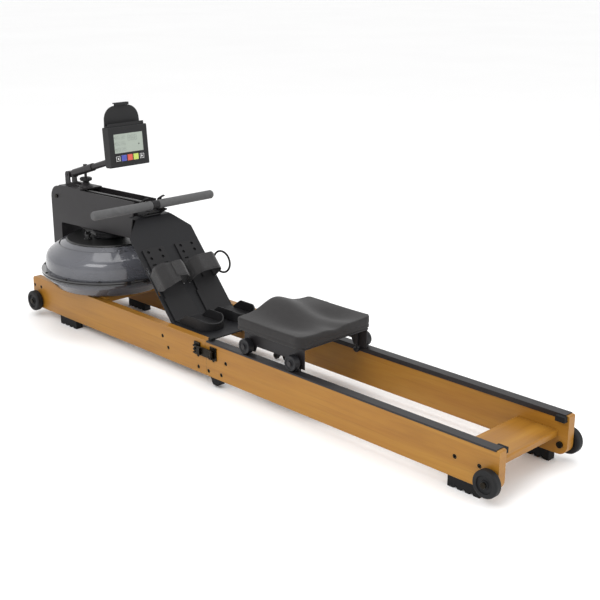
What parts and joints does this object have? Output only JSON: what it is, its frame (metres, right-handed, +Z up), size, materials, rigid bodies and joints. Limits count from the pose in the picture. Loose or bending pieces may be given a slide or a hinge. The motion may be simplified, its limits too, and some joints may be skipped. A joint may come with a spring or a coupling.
{
  "type": "rowing machine",
  "caption": "Folding rowing machine on timber rails with a water tank, pull handle, sliding seat, footboard and tilting monitor",
  "frame": {"origin": "on the floor under the middle of the machine's overall length and width, rails unfolded", "axes": "+X along the rails from the water tank towards the seat end, +Y to the rower's right hand, +Z up"},
  "size_m": [2.147, 0.496, 0.7994],
  "materials": {
    "timber": "satin varnish",
    "black_paint": "fine satin powder coat",
    "black_sheet": "satin powder coat",
    "black_plastic": "fine texture",
    "case_plastic": "satin",
    "rubber": "matt",
    "black_bolt": "black oxide",
    "steel": "brushed",
    "tank_clear": "smoked clear polycarbonate, gloss",
    "tank_black": "satin",
    "impeller_plastic": "moulded",
    "grip_foam": "matt foam",
    "webbing": "woven nylon",
    "seat_foam": "moulded foam skin, matt",
    "wheel_rubber": "matt",
    "roller_plastic": "satin",
    "lcd": "anti-glare",
    "blue_key": "satin",
    "red_key": "satin",
    "green_key": "satin",
    "black_key": "satin"
  },
  "bodies": {
    "front_frame": {"left_front_rail": "timber", "right_front_rail": "timber", "front_crossbars": "timber", "front_feet": "rubber", "front_bolts": "black_bolt", "front_hinge_leaves": "black_paint", "tower_frame": "black_paint", "handle_rest": "black_plastic", "tank_lower_shell": "tank_clear", "tank_upper_shell": "tank_clear", "tank_seal": "rubber", "tank_cap": "tank_black", "footboard": "black_sheet", "left_foot_strap": "webbing", "right_foot_strap": "webbing", "arm_bracket": "black_paint", "latch_catches": "black_bolt", "pull_strap": "webbing"},
    "tank_plug": {"tank_plug": "tank_black"},
    "rotor": {"impeller": "impeller_plastic", "strap_drum": "black_plastic"},
    "rear_strap_roller": {"rear_strap_roller": "black_plastic"},
    "front_pulley": {"front_pulley": "black_plastic"},
    "left_heel_plate": {"left_heel_plate": "black_plastic"},
    "right_heel_plate": {"right_heel_plate": "black_plastic"},
    "rear_frame": {"left_rear_rail": "timber", "right_rear_rail": "timber", "seat_tracks": "black_paint", "rear_crossbar": "timber", "rear_feet": "rubber", "rear_bolts": "black_bolt", "rear_hinge_leaves": "black_paint", "end_stops": "rubber", "latch_bases": "black_bolt"},
    "left_latch_bar": {"left_latch_bar": "black_bolt"},
    "right_latch_bar": {"right_latch_bar": "black_bolt"},
    "seat": {"seat_pad": "seat_foam", "seat_frame": "black_paint"},
    "front_rollers": {"front_rollers": "roller_plastic"},
    "rear_rollers": {"rear_rollers": "roller_plastic"},
    "left_guide_roller": {"left_guide_roller": "roller_plastic"},
    "right_guide_roller": {"right_guide_roller": "roller_plastic"},
    "front_left_wheel": {"front_left_wheel": "wheel_rubber"},
    "front_right_wheel": {"front_right_wheel": "wheel_rubber"},
    "rear_left_wheel": {"rear_left_wheel": "wheel_rubber"},
    "rear_right_wheel": {"rear_right_wheel": "wheel_rubber"},
    "handle": {"handle_bar": "steel", "handle_grips": "grip_foam", "handle_clamp": "black_plastic"},
    "arm": {"arm_tube": "black_paint"},
    "arm_knob": {"arm_knob": "black_plastic"},
    "console": {"console_case": "case_plastic", "lcd_window": "lcd", "phone_holder": "case_plastic"},
    "left_arrow_button": {"left_arrow_button": "black_key"},
    "blue_button": {"blue_button": "blue_key"},
    "red_button": {"red_button": "red_key"},
    "green_button": {"green_button": "green_key"},
    "right_arrow_button": {"right_arrow_button": "black_key"},
    "phone_clip": {"phone_clip": "case_plastic"}
  },
  "joints": [
    {"name": "fold_hinge", "type": "hinge", "parent": "front_frame", "child": "rear_frame", "pos_m": [-0.0415, 0, 0.018], "axis": [0, 1, 0], "range_deg": [0, 150]},
    {"name": "left_latch", "type": "hinge", "parent": "rear_frame", "child": "left_latch_bar", "pos_m": [-0.0065, -0.1725, 0.1095], "axis": [0, 0, 1], "range_deg": [0, 110]},
    {"name": "right_latch", "type": "hinge", "parent": "rear_frame", "child": "right_latch_bar", "pos_m": [-0.0065, 0.1725, 0.1095], "axis": [0, 0, -1], "range_deg": [0, 110]},
    {"name": "seat_slide", "type": "slide", "parent": "rear_frame", "child": "seat", "axis": [1, 0, 0], "range_m": [-0.13, 0.69]},
    {"name": "front_roller_spin", "type": "hinge", "parent": "seat", "child": "front_rollers", "pos_m": [0.1315, 0, 0.1683], "axis": [0, 1, 0], "continuous": true},
    {"name": "rear_roller_spin", "type": "hinge", "parent": "seat", "child": "rear_rollers", "pos_m": [0.3285, 0, 0.1683], "axis": [0, 1, 0], "continuous": true},
    {"name": "left_guide_spin", "type": "hinge", "parent": "seat", "child": "left_guide_roller", "pos_m": [0.3235, -0.1238, 0.1395], "axis": [0, 0, 1], "continuous": true},
    {"name": "right_guide_spin", "type": "hinge", "parent": "seat", "child": "right_guide_roller", "pos_m": [0.3235, 0.1238, 0.1395], "axis": [0, 0, 1], "continuous": true},
    {"name": "front_left_wheel_spin", "type": "hinge", "parent": "front_frame", "child": "front_left_wheel", "pos_m": [-1.01, -0.1797, 0.058], "axis": [0, 1, 0], "continuous": true},
    {"name": "front_right_wheel_spin", "type": "hinge", "parent": "front_frame", "child": "front_right_wheel", "pos_m": [-1.01, 0.1797, 0.058], "axis": [0, 1, 0], "continuous": true},
    {"name": "rear_left_wheel_spin", "type": "hinge", "parent": "rear_frame", "child": "rear_left_wheel", "pos_m": [1.0365, -0.1797, 0.058], "axis": [0, 1, 0], "continuous": true},
    {"name": "rear_right_wheel_spin", "type": "hinge", "parent": "rear_frame", "child": "rear_right_wheel", "pos_m": [1.0365, 0.1797, 0.058], "axis": [0, 1, 0], "continuous": true},
    {"name": "handle_pull", "type": "slide", "parent": "front_frame", "child": "handle", "axis": [1, 0, 0], "range_m": [0, 1.15]},
    {"name": "rear_strap_roller_spin", "type": "hinge", "parent": "front_frame", "child": "rear_strap_roller", "pos_m": [-0.5715, 0, 0.4589], "axis": [0, 1, 0], "continuous": true},
    {"name": "front_pulley_spin", "type": "hinge", "parent": "front_frame", "child": "front_pulley", "pos_m": [-1.0305, 0, 0.42706], "axis": [0, 1, 0], "continuous": true},
    {"name": "rotor_spin", "type": "hinge", "parent": "front_frame", "child": "rotor", "pos_m": [-0.7685, 0, 0.24], "axis": [0, 0, 1], "continuous": true},
    {"name": "plug_lift", "type": "slide", "parent": "front_frame", "child": "tank_plug", "axis": [0, 0, 1], "range_m": [0, 0.03]},
    {"name": "left_heel_slide", "type": "slide", "parent": "front_frame", "child": "left_heel_plate", "axis": [-0.6561, 0, 0.7547], "range_m": [0, 0.048]},
    {"name": "right_heel_slide", "type": "slide", "parent": "front_frame", "child": "right_heel_plate", "axis": [-0.6561, 0, 0.7547], "range_m": [0, 0.048]},
    {"name": "arm_lift", "type": "hinge", "parent": "front_frame", "child": "arm", "pos_m": [-1.0015, 0, 0.506], "axis": [0, -1, 0], "range_deg": [0, 70]},
    {"name": "arm_knob_turn", "type": "hinge", "parent": "arm", "child": "arm_knob", "pos_m": [-0.9035, 0, 0.508], "axis": [0, 0, 1], "continuous": true},
    {"name": "console_tilt", "type": "hinge", "parent": "arm", "child": "console", "pos_m": [-0.67384, 0, 0.60743], "axis": [0, 1, 0], "range_deg": [-25, 25]},
    {"name": "left_arrow_press", "type": "slide", "parent": "console", "child": "left_arrow_button", "axis": [-0.9969, 0, -0.0785], "range_m": [0, 0.001], "stiffness_N_per_m": 300},
    {"name": "blue_press", "type": "slide", "parent": "console", "child": "blue_button", "axis": [-0.9969, 0, -0.0785], "range_m": [0, 0.001], "stiffness_N_per_m": 300},
    {"name": "red_press", "type": "slide", "parent": "console", "child": "red_button", "axis": [-0.9969, 0, -0.0785], "range_m": [0, 0.001], "stiffness_N_per_m": 300},
    {"name": "green_press", "type": "slide", "parent": "console", "child": "green_button", "axis": [-0.9969, 0, -0.0785], "range_m": [0, 0.001], "stiffness_N_per_m": 300},
    {"name": "right_arrow_press", "type": "slide", "parent": "console", "child": "right_arrow_button", "axis": [-0.9969, 0, -0.0785], "range_m": [0, 0.001], "stiffness_N_per_m": 300},
    {"name": "clip_lift", "type": "slide", "parent": "console", "child": "phone_clip", "axis": [-0.0785, 0, 0.9969], "range_m": [0, 0.03], "stiffness_N_per_m": 40}
  ],
  "couplings": [
    {"joint": "front_roller_spin", "follows": "seat_slide", "rad_per_m": 43.478},
    {"joint": "rear_roller_spin", "follows": "seat_slide", "rad_per_m": 43.478},
    {"joint": "left_guide_spin", "follows": "seat_slide", "rad_per_m": -100},
    {"joint": "right_guide_spin", "follows": "seat_slide", "rad_per_m": 100},
    {"joint": "rear_strap_roller_spin", "follows": "handle_pull", "rad_per_m": 83.333},
    {"joint": "front_pulley_spin", "follows": "handle_pull", "rad_per_m": 37.037},
    {"joint": "rotor_spin", "follows": "handle_pull", "rad_per_m": -19.38}
  ]
}
